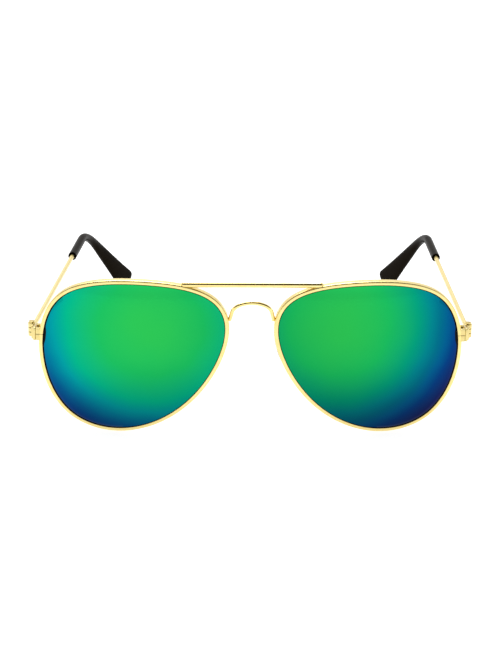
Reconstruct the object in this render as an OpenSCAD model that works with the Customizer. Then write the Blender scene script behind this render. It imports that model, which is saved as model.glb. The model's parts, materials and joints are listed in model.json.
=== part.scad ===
// Aviator sunglasses: two mirrored lenses in a wire front, two folding temples, two swivelling nose pads.
// Units are millimetres. +X is the wearer's left, +Y points back along the temples, +Z is up.
// The origin is on the table, in the middle of the footprint.

/* [Lenses] */
// Width of the glass that shows inside one eyewire
sight_w = 57; // [50:0.5:64]
// Height of the glass that shows inside one eyewire
sight_h = 49.4; // [42:0.2:56]
// Distance between the two eyewire openings, across the nose
lens_gap = 17.5; // [14:0.5:24]
// Radius of the front surface of a lens
lens_r = 88; // [75:1:140]
// Thickness of a lens
lens_t = 2; // [1.6:0.1:2.4]
// How far the lens's bevelled edge reaches into the eyewire
bevel_h = 0.5; // [0.3:0.05:0.6]
// Thickness of the bevelled edge
bevel_t = 0.9; // [0.6:0.05:1.1]
// Turn of each lens about the vertical, its outer side back
wrap = 5.8; // [0:0.2:9]
// Lean of the front, its top forward
pantoscopic = 4.4; // [0:0.2:9]

/* [Front] */
// Width of the eyewire seen from the front
rim_face = 1.25; // [1:0.05:1.8]
// Depth of the eyewire from front to back
rim_depth = 2.4; // [2:0.05:3]
// Length of the brow bar
brow_len = 43.6; // [38:0.2:50]
// Thickness of the brow bar
brow_d = 1.7; // [1.2:0.1:2.4]
// Depth by which the brow bar's ends are let into the tops of the eyewires
brow_sink = 0.35; // [0.2:0.05:0.45]
// Thickness of the bridge wire
bridge_d = 1.2; // [0.9:0.05:1.6]
// Height of the middle of the bridge above the middle of the lenses
bridge_up = 19.1; // [14:0.1:21]
// Rise of the bridge's arch above its two corners
bridge_rise = 1.8; // [0.5:0.1:3]
// Height of the hinges above the middle of the lenses
hinge_up = 6; // [2:0.5:9]

/* [Hinges] */
// Radius of a hinge barrel
barrel_r = 1.25; // [1.1:0.05:1.6]
// Height of one of the three barrels of a hinge
barrel_h = 1.36; // [1.1:0.02:2]
// Gap between two barrels
barrel_gap = 0.12; // [0.08:0.01:0.2]
// Diameter of a hinge screw's shank
hinge_screw_d = 1; // [0.8:0.05:1.1]
// Distance from the eyewire's middle plane back to the hinge axis
hinge_back = 4.1; // [3.9:0.1:6]
// Radial clearance of a moving part on its screw
running_fit = 0.04; // [0.02:0.01:0.08]

/* [Temples] */
// Length of a temple from the hinge to its bend
temple_len = 105.5; // [95:0.5:120]
// Radius of the bend over the ear
bend_r = 22; // [12:0.5:25]
// Angle of the bend over the ear
bend_angle = 47; // [35:1:60]
// Length of the temple beyond its bend
drop_len = 31.5; // [24:0.5:40]
// Inward lean of the part beyond the bend
inward_lean = 24; // [10:1:32]
// Diameter of the temple wire
wire_d = 1.5; // [1.2:0.05:1.8]
// Diameter of the plastic tip where it begins
tip_d = 3; // [2.5:0.1:3.4]
// Distance from the hinge to the start of the plastic tip
tip_start = 82.5; // [60:0.5:90]
// Greatest width of the flat end of the tip
paddle_w = 7.8; // [5:0.1:9]
// Greatest thickness of the flat end of the tip
paddle_t = 2.1; // [1.6:0.1:3]
// Twist that turns the flat end's inner face forward, against the head
tip_twist = 55; // [0:5:75]
// Outward splay of a fully open temple
open_splay = 0.4; // [0:0.1:4]
// How far the wearer's right temple stands folded in from fully open
right_fold = 4.9; // [0:0.1:20]

/* [Nose pads] */
// Length of a nose pad
pad_len = 14; // [10:0.5:16]
// Width of a nose pad
pad_w = 7; // [5:0.25:7.5]
// Thickness of a nose pad
pad_t = 2.3; // [1.6:0.1:3]
// Lean of a nose pad seen from the front, its top towards the nose
pad_lean = 18; // [8:1:26]
// Turn of a nose pad seen from above, its back edge away from the nose
pad_splay = 30; // [20:1:40]
// Distance of a pad's pivot from the middle plane
pad_out = 12.1; // [10.5:0.1:14]
// Distance of a pad's pivot behind the lens apex
pad_back = 8; // [7:0.1:9]
// Height of a pad's pivot above the middle of the lenses
pad_up = 3.3; // [0:0.1:8]
// Thickness of a pad arm's wire
pad_arm_d = 1; // [0.8:0.05:1.2]
// Diameter of a pad screw's shank
pad_screw_d = 0.9; // [0.7:0.05:1]

/* [Hidden] */

$fn = 48;
tiny = 0.01;
gold = "#d8b45a";
mirror_green = "#1fb45c";
black_tip = "#15110f";
clear_pad = "#e6e2d6";

// ---- lens outline: a closed cubic spline on eight control points, in half widths and half heights ----
// The outer side of the lens is +x, the nose is -x.
LENS_SHAPE = [[1.08, 0], [0.88, 0.96], [-0.26, 1.04], [-0.92, 0.85],
              [-1.08, 0.32], [-0.7, -0.55], [0, -1.08], [0.79, -0.96]];
outline_steps = 96;

// Point of a closed uniform cubic B-spline at t turns
function spline_point(c, t) =
    let (n = len(c), i = floor(t * n), f = t * n - i)
    (pow(1 - f, 3) * c[(i + n - 1) % n] + (3 * pow(f, 3) - 6 * f * f + 4) * c[i % n]
     + (3 * f + 3 * f * f - 3 * pow(f, 3) + 1) * c[(i + 1) % n] + pow(f, 3) * c[(i + 2) % n]) / 6;

// Direction of travel at the same point
function spline_slope(c, t) =
    let (n = len(c), i = floor(t * n), f = t * n - i)
    (-pow(1 - f, 2) * c[(i + n - 1) % n] + (3 * f * f - 4 * f) * c[i % n]
     + (1 + 2 * f - 3 * f * f) * c[(i + 1) % n] + f * f * c[(i + 2) % n]) / 2;

function column(points, k) = [for (p = points) p[k]];
function unit(v) = v / norm(v);

raw_outline = [for (i = [0:outline_steps - 1]) spline_point(LENS_SHAPE, i / outline_steps)];
raw_low = [min(column(raw_outline, 0)), min(column(raw_outline, 1))];
raw_high = [max(column(raw_outline, 0)), max(column(raw_outline, 1))];
fit_scale = [sight_w / (raw_high[0] - raw_low[0]), sight_h / (raw_high[1] - raw_low[1])];

// Edge of the visible glass, and its outward direction, at t turns
function sight(t) =
    let (p = spline_point(LENS_SHAPE, t) - (raw_low + raw_high) / 2)
    [p[0] * fit_scale[0], p[1] * fit_scale[1]];
function sight_out(t) =
    let (d = spline_slope(LENS_SHAPE, t))
    unit([d[1] * fit_scale[1], -d[0] * fit_scale[0]]);
function lens_outline(grow) =
    [for (i = [0:outline_steps - 1]) sight(i / outline_steps) + grow * sight_out(i / outline_steps)];

// Depth of the sphere of radius r round the lens's centre of curvature, below a point of the outline
function sag(p, r) = lens_r - sqrt(r * r - p[0] * p[0] - p[1] * p[1]);
mid_r = lens_r - lens_t / 2;

// ---- where the left lens stands: outline coordinates u, v and depth behind the lens apex to x, y, z ----
lens_x = (sight_w * cos(wrap) + lens_gap) / 2;
function leaned(u, v, depth) =
    let (x = u * cos(wrap) - depth * sin(wrap), y = u * sin(wrap) + depth * cos(wrap))
    [x + lens_x, y * cos(pantoscopic) - v * sin(pantoscopic), y * sin(pantoscopic) + v * cos(pantoscopic)];
rim_bottom = [for (i = [0:outline_steps - 1])
    let (t = i / outline_steps, p = sight(t) + rim_face * sight_out(t))
    leaned(p[0], p[1], sag(sight(t), mid_r) - rim_depth / 2)[2]];
lens_z = -min(rim_bottom);
function placed(u, v, depth) = leaned(u, v, depth) + [0, 0, lens_z];

// ---- hinge axis, found from the point where the eyewire is split ----
function turn_at_height(v, low, high, n) =
    let (mid = (low + high) / 2)
    n == 0 ? mid
    : sight(mid)[1] < v ? turn_at_height(v, mid, high, n - 1)
    : turn_at_height(v, low, mid, n - 1);
split_turn = turn_at_height(hinge_up, 0, 0.15, 20);
split_gap = 0.12;
split_part = split_gap / (PI * (sight_w + sight_h) / 2);
split_uv = sight(split_turn);
split = placed(split_uv[0], split_uv[1], sag(split_uv, mid_r));

braze = 0.3;
lock_w = 1.4;
lock_d = 3.4;
lock_h = 2;
plate_t = 1;
leaf_t = 0.6;
lock_x = split[0] + rim_face - braze;
plate_x = lock_x + lock_w;
hinge_x = plate_x + plate_t + leaf_t;
hinge_y = split[1] + hinge_back;
hinge_z = split[2];
barrel_pitch = barrel_h + barrel_gap;
hinge_h = 3 * barrel_h + 2 * barrel_gap;
barrel_clear = 0.2;
lock_y = split[1] - lock_d * 0.3;
lock_screw_d = 0.8;
lock_screw_y = lock_y + lock_d - 0.75;

// ---- temple: along +Y from the hinge axis, then a bend down and inwards, then the straight drop ----
wire_start = barrel_r + 0.55;
drop_start = [0, temple_len + bend_r * sin(bend_angle), -bend_r * (1 - cos(bend_angle))];
drop_dir = [0, cos(bend_angle), -sin(bend_angle)];
bend_len = bend_r * bend_angle * PI / 180;
tip_end = temple_len + bend_len + drop_len;
core_end = temple_len + bend_len + drop_len * 0.55;
bore_d = wire_d + 0.2;
tip_sides = 16;

// Centre line point at length s, its direction, and the bend's downward side, before the inward lean
function temple_angle(s) = min(max((s - temple_len) / bend_len, 0), 1) * bend_angle;
function temple_point(s) =
    s <= temple_len ? [0, s, 0]
    : s <= temple_len + bend_len
    ? [0, temple_len + bend_r * sin(temple_angle(s)), -bend_r * (1 - cos(temple_angle(s)))]
    : drop_start + (s - temple_len - bend_len) * drop_dir;

// One ring of the tip: thin across the bend plane and wide along it, then turned about the centre line
function tip_ring(s, wide, thick, turn = 0) =
    let (a = temple_angle(s), across = [1, 0, 0], up = [0, sin(a), cos(a)],
         thin_way = across * cos(turn) + up * sin(turn), wide_way = up * cos(turn) - across * sin(turn))
    [for (i = [0:tip_sides - 1])
        let (q = 360 * i / tip_sides)
        temple_point(s) + thin_way * cos(q) * thick / 2 + wide_way * sin(q) * wide / 2];

round_len = paddle_w * 0.4;
// How far the tip has widened at length s, from 0 to 1
flare_start = temple_len + bend_len * 0.35;
flare_end = tip_end - round_len;
function ease(x) = let (k = min(max(x, 0), 1)) k * k * (3 - 2 * k);
function flare(s) = pow(min(max((s - flare_start) / (flare_end - flare_start), 0), 1), 1.6);
function tip_wide(s) = tip_d + (paddle_w - tip_d) * flare(s);
function tip_thick(s) = tip_d + (paddle_t - tip_d) * flare(s);
function tip_turn(s) = tip_twist * ease((s - temple_len - bend_len * 0.5) / (drop_len * 0.6));
// Width left at a share k of the rounded end
function end_round(k) = pow(max(1 - pow(k, 2.4), 0), 1 / 2.4);

bend_rings = 9;
drop_rings = 9;
end_rings = 5;
bend_lengths = [for (i = [0:bend_rings]) temple_len + bend_len * i / bend_rings];
bore_lengths = concat([core_end], [for (i = [bend_rings:-1:0]) bend_lengths[i]], [tip_start]);
body_lengths = concat([tip_start + 0.5], bend_lengths,
    [for (i = [1:drop_rings]) temple_len + bend_len + (drop_len - round_len) * i / drop_rings]);
tip_rings = concat(
    [for (s = bore_lengths) tip_ring(s, bore_d, bore_d)],
    [tip_ring(tip_start, tip_d - 0.4, tip_d - 0.4)],
    [for (s = body_lengths) tip_ring(s, tip_wide(s), tip_thick(s), tip_turn(s))],
    [for (i = [1:end_rings])
        let (k = sin(86 * i / end_rings), s = tip_end - round_len + round_len * k)
        tip_ring(s, paddle_w * end_round(k), paddle_t * (0.3 + 0.7 * end_round(k)), tip_turn(s))]);

// Inward lean about the wire, then the downward slope that brings the tip to the table
function turned_y(p, a) = [p[0] * cos(a) + p[2] * sin(a), p[1], p[2] * cos(a) - p[0] * sin(a)];
function sloped(p, a) = [p[0], p[1] * cos(a) + p[2] * sin(a), p[2] * cos(a) - p[1] * sin(a)];
function flat_points(rings) = [for (r = rings) for (p = r) p];
leaned_tip = [for (p = flat_points(tip_rings)) turned_y(p, inward_lean)];
// Slope at which the lowest point of the tip reaches the table
function lowest(a) = min([for (p = leaned_tip) sloped(p, a)[2]]) + hinge_z;
function slope_for_table(low, high, n) =
    let (mid = (low + high) / 2)
    n == 0 ? low
    : lowest(mid) > 0 ? slope_for_table(mid, high, n - 1)
    : slope_for_table(low, mid, n - 1);
temple_slope = slope_for_table(-8, 12, 16);

// ---- the whole is centred on its footprint ----
front_y = lens_r * (cos(wrap) * cos(pantoscopic) - 1);
rear_y = hinge_y + max([for (p = leaned_tip)
    let (q = sloped(p, temple_slope)) q[1] * cos(open_splay) - q[0] * sin(open_splay)]);
centre_y = (front_y + rear_y) / 2;

// ---- nose pads ----
pad_gap = 1.5;
lug_w = 1.4;
lug_h = 2.2;
lug_x = 0.9;
box_gap = 0.15;
box_wall = 0.6;
box_x = 1.3;
box_h = 2.8;
pad_pivot = [pad_out, pad_back, lens_z + pad_up];

// ================= shared shapes =================

// Skin over rings of equal length, closed at both ends
module loft(rings) {
    n = len(rings[0]);
    last = len(rings) - 1;
    sides = [for (r = [0:last - 1]) for (i = [0:n - 1])
        let (a = r * n + i, b = r * n + (i + 1) % n)
        each [[a, b, b + n], [a, b + n, a + n]]];
    first_cap = [for (i = [1:n - 2]) [0, i + 1, i]];
    last_cap = [for (i = [1:n - 2]) [last * n, last * n + i, last * n + i + 1]];
    polyhedron(flat_points(rings), concat(sides, first_cap, last_cap), convexity = 10);
}

// Rings of a round wire along a path whose points lie close together
function wire_rings(path, d, sides) =
    [for (k = [0:len(path) - 1])
        let (t = unit(path[min(k + 1, len(path) - 1)] - path[max(k - 1, 0)]),
             a = unit(cross(t, abs(t[1]) < 0.9 ? [0, 1, 0] : [1, 0, 0])), b = cross(t, a))
        [for (i = [0:sides - 1])
            let (q = -360 * i / sides) path[k] + d / 2 * (cos(q) * a + sin(q) * b)]];

// Smooth open curve through the inner points of a list, from the first point to the last
function open_curve(c, steps) =
    let (e = concat([2 * c[0] - c[1]], c, [2 * c[len(c) - 1] - c[len(c) - 2]]))
    concat([for (i = [1:len(c) - 1]) for (k = [0:steps - 1])
        let (f = k / steps)
        ((2 * e[i]) + (e[i + 1] - e[i - 1]) * f + (2 * e[i - 1] - 5 * e[i] + 4 * e[i + 1] - e[i + 2]) * f * f
         + (3 * e[i] - e[i - 1] - 3 * e[i + 1] + e[i + 2]) * pow(f, 3)) / 2], [c[len(c) - 1]]);

module on_table() { translate([0, -centre_y, 0]) children(); }
// side is 1 for the wearer's left and -1 for the wearer's right
module on_side(side) { on_table() mirror([side < 0 ? 1 : 0, 0, 0]) children(); }
module at_hinge() { translate([hinge_x, hinge_y, hinge_z]) children(); }
module at_temple(side) {
    on_side(side) at_hinge() rotate([0, 0, (side < 0 ? right_fold : 0) - open_splay]) children();
}
module at_pad(side) {
    on_side(side) translate(pad_pivot) rotate([0, -pad_lean, 0]) rotate([0, 0, -pad_splay]) children();
}
// Box from one corner to the opposite one
module span(a, b) { translate(a) cube(b - a); }
// Cylinder along +Y
module along_y(d, h) { rotate([-90, 0, 0]) cylinder(d = d, h = h); }

// ================= front =================

// The brow bar is brazed to the top of each eyewire, where the eyewire passes the bar's end
function turn_at_x(x, low, high, n) =
    let (mid = (low + high) / 2, p = sight(mid))
    n == 0 ? mid
    : placed(p[0], p[1], 0)[0] > x ? turn_at_x(x, mid, high, n - 1)
    : turn_at_x(x, low, mid, n - 1);
brow_turn = turn_at_x(brow_len / 2 - brow_d / 2, 0.2, 0.45, 20);
brow_uv = sight(brow_turn) + rim_face * sight_out(brow_turn);
brow_seat = placed(brow_uv[0], brow_uv[1], sag(sight(brow_turn), mid_r) - rim_depth / 2);

module brow_bar() {
    half = (brow_len - brow_d) / 2;
    color(gold) on_table() translate([0, brow_seat[1] + brow_d / 2, brow_seat[2] + brow_d / 2 - brow_sink]) {
        translate([-half, 0, 0]) rotate([0, 90, 0]) cylinder(d = brow_d, h = 2 * half);
        for (s = [-1, 1]) translate([s * half, 0, 0]) sphere(d = brow_d);
    }
}

// The bridge wire lies in a plane just behind the lens apexes: leg, corner, arch, corner, leg
bridge_y = front_y + 2.3;
bridge_foot_turn = turn_at_height_nose(bridge_up - 6.6, 0.36, 0.5, 20);
function turn_at_height_nose(v, low, high, n) =
    let (mid = (low + high) / 2)
    n == 0 ? mid
    : sight(mid)[1] > v ? turn_at_height_nose(v, mid, high, n - 1)
    : turn_at_height_nose(v, low, mid, n - 1);
bridge_foot_uv = sight(bridge_foot_turn) + (rim_face + bridge_d * 0.2) * sight_out(bridge_foot_turn);
bridge_foot = placed(bridge_foot_uv[0], bridge_foot_uv[1], sag(bridge_foot_uv, mid_r));
bridge_corner = [bridge_foot[0] - 1, bridge_y, lens_z + bridge_up - bridge_rise];
bridge_arch_r = (pow(bridge_corner[0], 2) + pow(bridge_rise, 2)) / (2 * bridge_rise);

bridge_round = 1.5;
bridge_steps = 6;
function bridge_arch(x) =
    [x, bridge_y, lens_z + bridge_up - bridge_arch_r + sqrt(pow(bridge_arch_r, 2) - x * x)];

// Half of the bridge: up the leg, round the corner by a curve that is tangent to both sides, to the middle
function bridge_half() =
    let (leg = unit(bridge_corner - bridge_foot), before = bridge_corner - bridge_round * leg,
         past = bridge_arch(bridge_corner[0] - bridge_round), n = bridge_steps)
    concat([bridge_foot],
        [for (i = [0:n])
            let (f = i / n) pow(1 - f, 2) * before + 2 * f * (1 - f) * bridge_corner + f * f * past],
        [for (i = [1:n]) bridge_arch(past[0] * (1 - i / n))]);

module bridge() {
    half = bridge_half();
    other = [for (i = [len(half) - 2:-1:0]) [-half[i][0], half[i][1], half[i][2]]];
    color(gold) on_table() loft(wire_rings(concat(half, other), bridge_d, 12));
}

// Section of the eyewire: out from the visible edge, and back from its middle plane
groove_d = bevel_h + 0.2;
groove_h = bevel_t / 2 + 0.25;
half_depth = rim_depth / 2;
EYEWIRE_SECTION = [[0, -groove_h], [0, -half_depth + 0.2], [0.2, -half_depth], [rim_face - 0.4, -half_depth],
    [rim_face, -half_depth + 0.45], [rim_face, half_depth - 0.45], [rim_face - 0.4, half_depth],
    [0.2, half_depth], [0, half_depth - 0.2], [0, groove_h],
    [groove_d, groove_h - 0.15], [groove_d, 0.15 - groove_h]];

function eyewire_ring(t) =
    let (p = sight(t), out = sight_out(t), depth = sag(p, mid_r))
    [for (s = EYEWIRE_SECTION) placed(p[0] + out[0] * s[0], p[1] + out[1] * s[0], depth + s[1])];

module eyewire(side) {
    color(gold) on_side(side) loft([for (i = [outline_steps:-1:0])
        eyewire_ring(split_turn + split_part / 2 + (1 - split_part) * i / outline_steps)]);
}

// Space between two spheres round the lens's centre of curvature
module shell(front, thickness) {
    difference() {
        sphere(r = lens_r - front);
        sphere(r = lens_r - front - thickness);
    }
}

// The lens body with a thinner bevelled edge all round, which sits in the eyewire's groove
module lens(side) {
    reach = 0.2 * lens_r;
    color(mirror_green) on_side(side) translate([lens_x, 0, lens_z]) rotate([pantoscopic, 0, 0])
        rotate([0, 0, wrap]) rotate([90, 0, 0]) translate([0, 0, -lens_r]) union() {
            intersection() {
                translate([0, 0, lens_r - reach]) linear_extrude(reach + 1) polygon(lens_outline(-0.06));
                shell(0, lens_t);
            }
            intersection() {
                translate([0, 0, lens_r - reach]) linear_extrude(reach + 1) polygon(lens_outline(bevel_h));
                shell((lens_t - bevel_t) / 2, bevel_t);
            }
        }
}

// The eyewire's two ends are brazed into an upper and a lower block, which one screw draws together
module rim_lock_block(low, high, bore) {
    difference() {
        span([lock_x, lock_y, low], [plate_x, lock_y + lock_d, high]);
        translate([lock_x + lock_w / 2, lock_screw_y, low - 1]) cylinder(d = bore, h = high - low + 2);
    }
}
module rim_lock_upper(side) {
    color(gold) on_side(side) rim_lock_block(hinge_z + split_gap / 2, hinge_z + lock_h, lock_screw_d + 0.06);
}
module rim_lock_lower(side) {
    color(gold) on_side(side) rim_lock_block(hinge_z - lock_h, hinge_z - split_gap / 2, lock_screw_d + 0.02);
}

// Slotted screw: shank down from the origin, head up
module slotted_screw(shank_d, shank_len, head_d, head_h) {
    difference() {
        union() {
            translate([0, 0, -shank_len]) cylinder(d = shank_d, h = shank_len + tiny);
            cylinder(d = head_d, h = head_h);
        }
        span([-head_d, -head_d * 0.09, head_h * 0.5], [head_d, head_d * 0.09, head_h + 1]);
    }
}
module rim_lock_screw(side) {
    color(gold) on_side(side) translate([lock_x + lock_w / 2, lock_screw_y, hinge_z + lock_h])
        slotted_screw(lock_screw_d, 2 * lock_h, lock_w * 0.95, 0.5);
}

// Curved-front plate from the upper rim lock back to the hinge
module endpiece(side) {
    front = lock_y + plate_t / 2;
    rear = hinge_y - barrel_r - 0.05;
    lower_clear = hinge_z - lock_h;
    color(gold) on_side(side) {
        span([plate_x, front, lower_clear], [plate_x + plate_t, rear, hinge_z + lock_h + 0.2]);
        translate([plate_x + plate_t / 2, front, lower_clear]) cylinder(d = plate_t, h = 2 * lock_h + 0.2);
    }
}

// ================= hinge =================

// The two outer barrels and the leaf that is brazed to the endpiece
module front_hinge(side) {
    leaf_front = hinge_y - barrel_r - 2;
    leaf_rear = hinge_y - barrel_r - barrel_clear;
    color(gold) on_side(side) difference() {
        union() {
            for (k = [-1, 1]) {
                low = hinge_z + k * barrel_pitch - barrel_h / 2;
                translate([hinge_x, hinge_y, low]) cylinder(r = barrel_r, h = barrel_h);
                span([hinge_x - leaf_t, leaf_front, low], [hinge_x, hinge_y, low + barrel_h]);
            }
            span([hinge_x - leaf_t, leaf_front, hinge_z - hinge_h / 2],
                 [hinge_x, leaf_rear, hinge_z + hinge_h / 2]);
        }
        at_hinge() translate([0, 0, -hinge_h]) cylinder(d = hinge_screw_d + 0.02, h = 2 * hinge_h);
    }
}

module hinge_screw(side) {
    color(gold) on_side(side) at_hinge() translate([0, 0, hinge_h / 2])
        slotted_screw(hinge_screw_d, hinge_h + 0.3, barrel_r * 1.5, 0.5);
}

// The middle barrel and the tongue that the wire is slotted over
tongue_t = 0.7;
tongue_end = wire_start + 3.2;
tongue_h = wire_d - 0.5;
module tongue() { span([-tongue_t / 2, 0, -tongue_h / 2], [tongue_t / 2, tongue_end, tongue_h / 2]); }
module temple_hinge(side) {
    color(gold) at_temple(side) difference() {
        union() {
            translate([0, 0, -barrel_h / 2]) cylinder(r = barrel_r, h = barrel_h);
            tongue();
        }
        translate([0, 0, -hinge_h]) cylinder(d = hinge_screw_d + 2 * running_fit, h = 2 * hinge_h);
    }
}

// ================= temples =================

module temple_wire(side) {
    color(gold) at_temple(side) rotate([-temple_slope, 0, 0]) rotate([0, inward_lean, 0]) difference() {
        loft([for (s = concat([wire_start], bend_lengths, [core_end - 0.4])) tip_ring(s, wire_d, wire_d)]);
        rotate([0, -inward_lean, 0]) rotate([temple_slope, 0, 0]) tongue();
    }
}

module temple_tip(side) {
    color(black_tip) at_temple(side) rotate([-temple_slope, 0, 0]) rotate([0, inward_lean, 0])
        loft(tip_rings);
}

// ================= nose pads =================

// Arm wire from the back of the eyewire, round and down to the outer face of the pad's box
module pad_arm(side) {
    root_turn = turn_at_height_nose(pad_up + 5, 0.36, 0.6, 20);
    root_uv = sight(root_turn) + rim_face / 2 * sight_out(root_turn);
    root = placed(root_uv[0], root_uv[1], sag(root_uv, mid_r) + half_depth - 0.25);
    out = [cos(pad_splay) * cos(pad_lean), -sin(pad_splay), cos(pad_splay) * sin(pad_lean)];
    box_back = pad_pivot + (box_x + box_wall) * out;
    path = [root, root + [0.3, 1.6, 0.7], root + [2.2, 2.7, 1.2],
        box_back + [0.9, -0.4, 2.4], box_back + [0.5, -0.2, 0.4]];
    color(gold) on_side(side) loft(wire_rings(open_curve(path, 6), pad_arm_d, 12));
}

// Channel that holds the pad's lug, with the pivot screw across it
module pad_box(side) {
    inner = lug_w / 2 + box_gap;
    outer = inner + box_wall;
    color(gold) at_pad(side) difference() {
        span([-pad_gap * 0.6, -outer, -box_h / 2], [box_x + box_wall, outer, box_h / 2]);
        span([-pad_gap, -inner, -box_h], [box_x, inner, box_h]);
        translate([0, -outer - 1, 0]) along_y(pad_screw_d + 0.02, 2 * outer + 2);
    }
}

module pad_screw(side) {
    outer = lug_w / 2 + box_gap + box_wall;
    color(gold) at_pad(side) translate([0, outer, 0]) rotate([-90, 0, 0])
        slotted_screw(pad_screw_d, 2 * outer + 0.2, pad_screw_d * 1.7, 0.45);
}

// Oval pad with a crowned face towards the nose and a drilled lug on its back
module nose_pad(side) {
    crown_r = 22;
    pad_points = [for (q = [0:9:351])
        [sign(cos(q)) * pow(abs(cos(q)), 0.9) * pad_w / 2,
         sin(q) * pad_len / 2 - 0.06 * pad_len * pow(cos(q), 2)]];
    color(clear_pad) at_pad(side) difference() {
        union() {
            intersection() {
                translate([-pad_gap, 0, 0]) rotate([90, 0, -90]) linear_extrude(pad_t) polygon(pad_points);
                translate([crown_r - pad_gap - pad_t, 0, 0]) sphere(r = crown_r, $fn = 240);
            }
            span([-pad_gap - tiny, -lug_w / 2, -lug_h / 2], [lug_x, lug_w / 2, lug_h / 2]);
        }
        translate([0, -lug_w, 0]) along_y(pad_screw_d + 2 * running_fit, 2 * lug_w);
    }
}

brow_bar();
bridge();
eyewire(1);  // eyewire_left
lens(1);  // lens_left
rim_lock_upper(1);  // rim_lock_upper_left
rim_lock_lower(1);  // rim_lock_lower_left
rim_lock_screw(1);  // rim_lock_screw_left
endpiece(1);  // endpiece_left
front_hinge(1);  // front_hinge_left
hinge_screw(1);  // hinge_screw_left
temple_hinge(1);  // temple_hinge_left
temple_wire(1);  // temple_wire_left
temple_tip(1);  // temple_tip_left
pad_arm(1);  // pad_arm_left
pad_box(1);  // pad_box_left
pad_screw(1);  // pad_screw_left
nose_pad(1);  // nose_pad_left
eyewire(-1);  // eyewire_right
lens(-1);  // lens_right
rim_lock_upper(-1);  // rim_lock_upper_right
rim_lock_lower(-1);  // rim_lock_lower_right
rim_lock_screw(-1);  // rim_lock_screw_right
endpiece(-1);  // endpiece_right
front_hinge(-1);  // front_hinge_right
hinge_screw(-1);  // hinge_screw_right
temple_hinge(-1);  // temple_hinge_right
temple_wire(-1);  // temple_wire_right
temple_tip(-1);  // temple_tip_right
pad_arm(-1);  // pad_arm_right
pad_box(-1);  // pad_box_right
pad_screw(-1);  // pad_screw_right
nose_pad(-1);  // nose_pad_right
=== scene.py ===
"""Looks of the aviator sunglasses: smooth rims, wires, lenses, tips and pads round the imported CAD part."""

import json
import math

import bmesh
import bpy
from mathutils import Matrix, Vector


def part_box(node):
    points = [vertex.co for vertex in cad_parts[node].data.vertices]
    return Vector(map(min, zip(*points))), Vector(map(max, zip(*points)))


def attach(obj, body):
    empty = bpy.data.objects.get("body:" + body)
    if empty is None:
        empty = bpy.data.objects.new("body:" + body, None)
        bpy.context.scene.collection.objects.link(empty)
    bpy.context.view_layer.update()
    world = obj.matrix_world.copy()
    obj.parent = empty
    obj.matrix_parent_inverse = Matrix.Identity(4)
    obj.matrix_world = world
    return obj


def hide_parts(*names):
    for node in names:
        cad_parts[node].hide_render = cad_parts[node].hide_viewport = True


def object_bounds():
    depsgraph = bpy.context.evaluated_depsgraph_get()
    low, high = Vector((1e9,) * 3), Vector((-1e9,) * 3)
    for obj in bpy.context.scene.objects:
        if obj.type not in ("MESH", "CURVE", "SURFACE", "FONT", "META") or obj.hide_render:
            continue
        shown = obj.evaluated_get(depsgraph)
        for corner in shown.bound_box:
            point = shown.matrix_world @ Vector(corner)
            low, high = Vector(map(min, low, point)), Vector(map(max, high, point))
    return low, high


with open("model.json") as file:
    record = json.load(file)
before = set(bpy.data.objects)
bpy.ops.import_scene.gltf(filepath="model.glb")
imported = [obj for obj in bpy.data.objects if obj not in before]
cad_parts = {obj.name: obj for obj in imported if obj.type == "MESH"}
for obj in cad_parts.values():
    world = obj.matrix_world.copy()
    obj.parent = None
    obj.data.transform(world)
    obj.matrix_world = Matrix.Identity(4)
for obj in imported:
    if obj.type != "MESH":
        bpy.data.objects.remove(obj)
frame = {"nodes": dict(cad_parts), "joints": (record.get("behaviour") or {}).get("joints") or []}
CAD_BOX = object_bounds()

MM = 0.001
JOINTS = {j["name"]: j for j in frame["joints"]}
SIDES = {"left": 1, "right": -1}

# ---------------------------------------------------------------- sizes, in millimetres and radians

# Glass that shows inside one eyewire, and the gap between the two
SIGHT_W, SIGHT_H, LENS_GAP = 57, 49.4, 17.5
# Radius of the lens front, and thickness of the lens
LENS_R, LENS_T = 88, 2
# Turn of a lens round the face, and its lean from upright
WRAP, PANTOSCOPIC = math.radians(5.8), math.radians(4.4)
RIM_FACE, RIM_DEPTH = 1.25, 2.4
# Bevel of the lens into the eyewire, and half the width of the groove that takes it
BEVEL_H, GROOVE_HALF = 0.5, 0.7
# Height of the hinge above the lens's middle, and the gap where the eyewire is split there
HINGE_UP, SPLIT_GAP = 6, 0.12
# Bridge wire: height of its top, rise of the arch, round of its corners
BRIDGE_D, BRIDGE_UP, BRIDGE_RISE, BRIDGE_ROUND = 1.2, 19.1, 1.8, 1.5
# Foot of the bridge below its top, the legs' lean, and how far the wire lies behind the front
BRIDGE_LEG, BRIDGE_LEG_IN, BRIDGE_BACK = 6.6, 1, 2.3
BRIDGE_FOOT_OUT = BRIDGE_D * 0.2
BARREL_R = 1.25
# Temple: hinge to bend, the bend, and the part that drops behind the ear
TEMPLE_LEN, BEND_R, BEND_ANGLE, DROP_LEN = 105.5, 22, math.radians(47), 31.5
INWARD_LEAN, TIP_TWIST = math.radians(24), math.radians(55)
# Plastic tip: round at its start, and a flat paddle at its end
WIRE_D, TIP_D, TIP_START, PADDLE_W, PADDLE_T = 1.5, 3, 82.5, 7.8, 2.1
# How far past straight back a temple stands at its open stop
OPEN_SPLAY = math.radians(0.4)
# Nose pad, and the gap between its back and its pivot
PAD_LEN, PAD_W, PAD_T, PAD_GAP = 14, 7, 2.3, 1.5
PAD_LEAN, PAD_SPLAY = math.radians(18), math.radians(30)
# Arm wire: height of its root, depth into the eyewire, and where it meets the box behind the pivot
PAD_ARM_D, ARM_ROOT_UP, ARM_SINK, PAD_BOX_BACK = 1, 8.3, 0.25, 1.9

# ---------------------------------------------------------------- outline of the glass

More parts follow.
